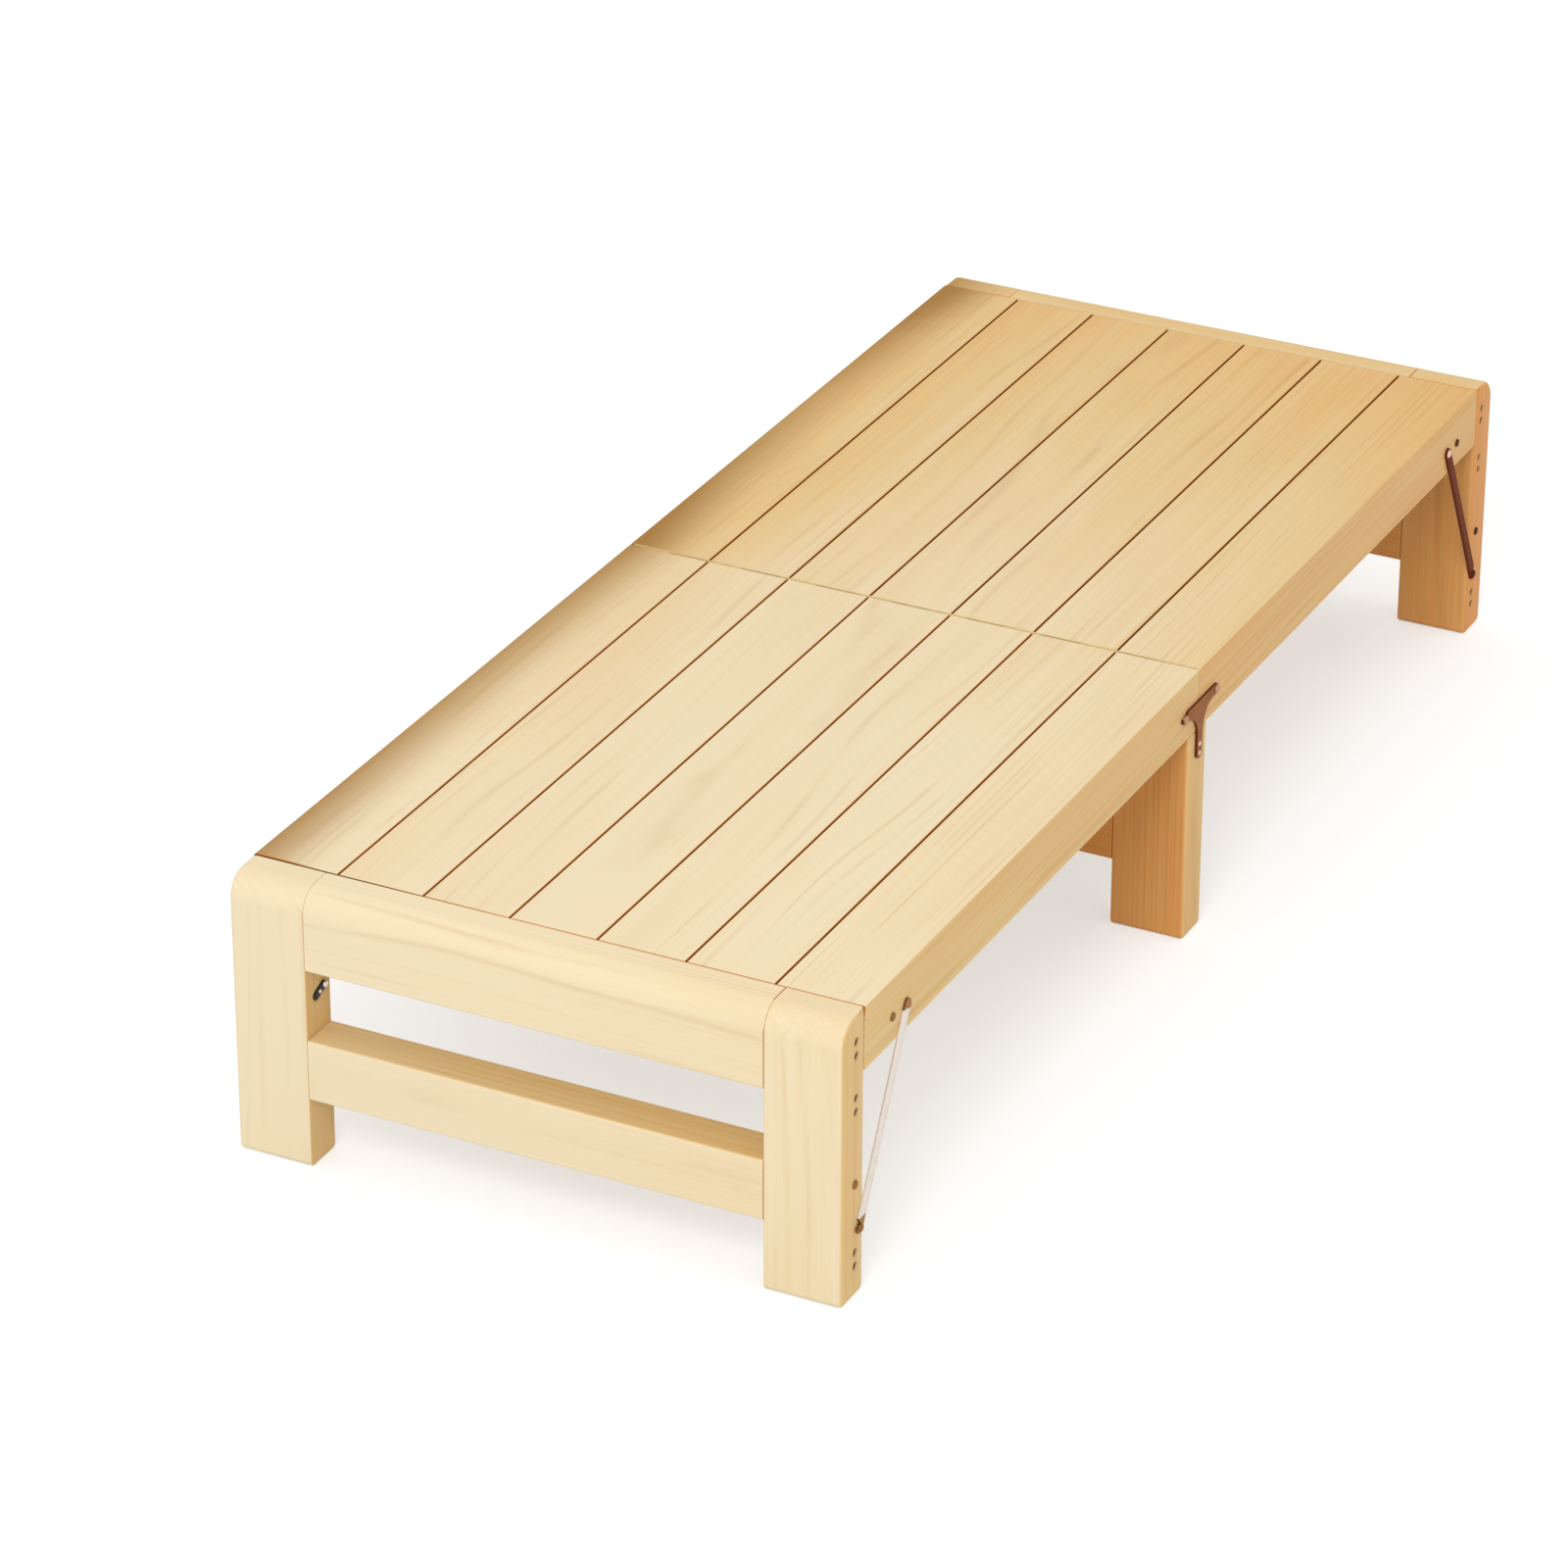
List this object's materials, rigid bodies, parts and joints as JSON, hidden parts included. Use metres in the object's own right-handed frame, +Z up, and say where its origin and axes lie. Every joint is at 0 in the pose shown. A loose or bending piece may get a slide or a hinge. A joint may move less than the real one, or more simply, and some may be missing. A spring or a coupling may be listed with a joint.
{
  "type": "folding bed",
  "caption": "Low wooden bed whose boarded deck folds in half at a hinged seam, with fold-under leg frames, metal tee plates that hook the middle legs to the rails, and diagonal braces.",
  "frame": {"origin": "on the floor under the centre of the unfolded bed", "axes": "+Y along the bed from the head end to the foot end, +Z up, +X to the right when looking along +Y"},
  "size_m": [0.8092, 2, 0.3713],
  "materials": {
    "board_wood": "clear satin lacquer on pale pine, fine straight grain along the bed",
    "rail_wood": "clear satin lacquer on pine",
    "batten_wood": "planed pine",
    "leg_wood": "clear satin lacquer on pine, grain upright",
    "cross_rail_wood": "clear satin lacquer on pine, grain across the bed",
    "bolt_steel": "dark bronzed steel",
    "bright_brace": "bright zinc-plated steel",
    "brown_brace": "dark red-brown satin",
    "tee_bronze": "copper-brown satin",
    "seam_hinge": "aged brass",
    "hinge_steel": "zinc-plated steel"
  },
  "bodies": {
    "foot_deck": {"foot_rail_left": "rail_wood", "foot_rail_right": "rail_wood", "foot_board_1": "board_wood", "foot_board_2": "board_wood", "foot_board_3": "board_wood", "foot_board_4": "board_wood", "foot_board_5": "board_wood", "foot_board_6": "board_wood", "foot_board_7": "board_wood", "foot_end_batten": "batten_wood", "foot_centre_batten": "batten_wood", "foot_seam_batten": "batten_wood", "foot_seam_tie_rod": "bolt_steel", "foot_end_tie_rod": "bolt_steel", "foot_seam_hinge_leaf": "seam_hinge", "foot_frame_hinge_deck_leaf": "hinge_steel", "middle_frame_hinge_deck_leaf": "hinge_steel"},
    "head_deck": {"head_rail_left": "rail_wood", "head_rail_right": "rail_wood", "head_board_1": "board_wood", "head_board_2": "board_wood", "head_board_3": "board_wood", "head_board_4": "board_wood", "head_board_5": "board_wood", "head_board_6": "board_wood", "head_board_7": "board_wood", "head_end_batten": "batten_wood", "head_centre_batten": "batten_wood", "head_seam_batten": "batten_wood", "head_seam_tie_rod": "bolt_steel", "head_end_tie_rod": "bolt_steel", "head_seam_hinge_leaf": "seam_hinge", "head_frame_hinge_deck_leaf": "hinge_steel"},
    "head_legs": {"head_leg_left": "leg_wood", "head_leg_right": "leg_wood", "head_upper_rail": "cross_rail_wood", "head_lower_rail": "cross_rail_wood", "head_leg_tie_rod": "bolt_steel", "head_brace_stud_left": "bolt_steel", "head_brace_stud_right": "bolt_steel", "head_frame_hinge_leg_leaf": "hinge_steel"},
    "foot_legs": {"foot_leg_left": "leg_wood", "foot_leg_right": "leg_wood", "foot_upper_rail": "cross_rail_wood", "foot_lower_rail": "cross_rail_wood", "foot_leg_tie_rod": "bolt_steel", "foot_brace_stud_left": "bolt_steel", "foot_brace_stud_right": "bolt_steel", "foot_frame_hinge_leg_leaf": "hinge_steel"},
    "middle_legs": {"middle_leg_left": "leg_wood", "middle_leg_right": "leg_wood", "middle_upper_rail": "cross_rail_wood", "middle_lower_rail": "cross_rail_wood", "tee_plate_left": "tee_bronze", "tee_plate_right": "tee_bronze", "middle_frame_hinge_leg_leaf": "hinge_steel"},
    "head_brace_l": {"head_brace_left": "bright_brace"},
    "head_brace_r": {"head_brace_right": "bright_brace"},
    "foot_brace_l": {"foot_brace_left": "brown_brace"},
    "foot_brace_r": {"foot_brace_right": "brown_brace"}
  },
  "joints": [
    {"name": "deck_fold", "type": "hinge", "parent": "foot_deck", "child": "head_deck", "pos_m": [0, 0, 0.3704], "axis": [-1, 0, 0], "range_deg": [0, 180]},
    {"name": "head_legs_fold", "type": "hinge", "parent": "head_deck", "child": "head_legs", "pos_m": [0, -0.94, 0.284], "axis": [1, 0, 0], "range_deg": [0, 90]},
    {"name": "foot_legs_fold", "type": "hinge", "parent": "foot_deck", "child": "foot_legs", "pos_m": [0, 0.94, 0.284], "axis": [-1, 0, 0], "range_deg": [0, 90]},
    {"name": "middle_legs_fold", "type": "hinge", "parent": "foot_deck", "child": "middle_legs", "pos_m": [0, 0.0315, 0.284], "axis": [1, 0, 0], "range_deg": [0, 90]},
    {"name": "head_brace_left_swing", "type": "hinge", "parent": "head_deck", "child": "head_brace_l", "pos_m": [-0.3998, -0.836, 0.32], "axis": [1, 0, 0], "range_deg": [0, 117.65]},
    {"name": "head_brace_right_swing", "type": "hinge", "parent": "head_deck", "child": "head_brace_r", "pos_m": [0.3998, -0.836, 0.32], "axis": [1, 0, 0], "range_deg": [0, 117.65]},
    {"name": "foot_brace_left_swing", "type": "hinge", "parent": "foot_deck", "child": "foot_brace_l", "pos_m": [-0.3998, 0.836, 0.32], "axis": [-1, 0, 0], "range_deg": [0, 117.65]},
    {"name": "foot_brace_right_swing", "type": "hinge", "parent": "foot_deck", "child": "foot_brace_r", "pos_m": [0.3998, 0.836, 0.32], "axis": [-1, 0, 0], "range_deg": [0, 117.65]}
  ],
  "couplings": [
    {"joint": "head_brace_left_swing", "follows": "head_legs_fold", "ratio": 1.3072},
    {"joint": "head_brace_right_swing", "follows": "head_legs_fold", "ratio": 1.3072},
    {"joint": "foot_brace_left_swing", "follows": "foot_legs_fold", "ratio": 1.3072},
    {"joint": "foot_brace_right_swing", "follows": "foot_legs_fold", "ratio": 1.3072}
  ]
}
